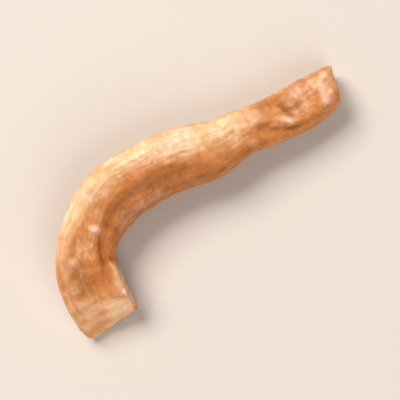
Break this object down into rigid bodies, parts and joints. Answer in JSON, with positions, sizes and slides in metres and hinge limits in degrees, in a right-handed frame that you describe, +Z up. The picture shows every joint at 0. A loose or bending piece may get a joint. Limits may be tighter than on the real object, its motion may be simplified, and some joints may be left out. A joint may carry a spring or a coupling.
{
  "type": "safed musli root",
  "caption": "Dried, peeled tuberous root, bent into a hook and furrowed lengthwise, with a slanting break at its thick end and a blunt one at its thin end.",
  "frame": {"origin": "middle of the root's footprint, on the surface that it lies on", "axes": "+Z up from that surface, +X along the longest extent, from the hook's bend towards its thin end, and +Y towards the thin end's side of the hook"},
  "size_m": [0.0326, 0.0322, 0.007],
  "materials": {
    "root_flesh": "dry and hard with a faint waxy sheen, honey tan, paler on its ridges and browner in its furrows"
  },
  "bodies": {
    "root": {"musli_root": "root_flesh"}
  },
  "joints": []
}
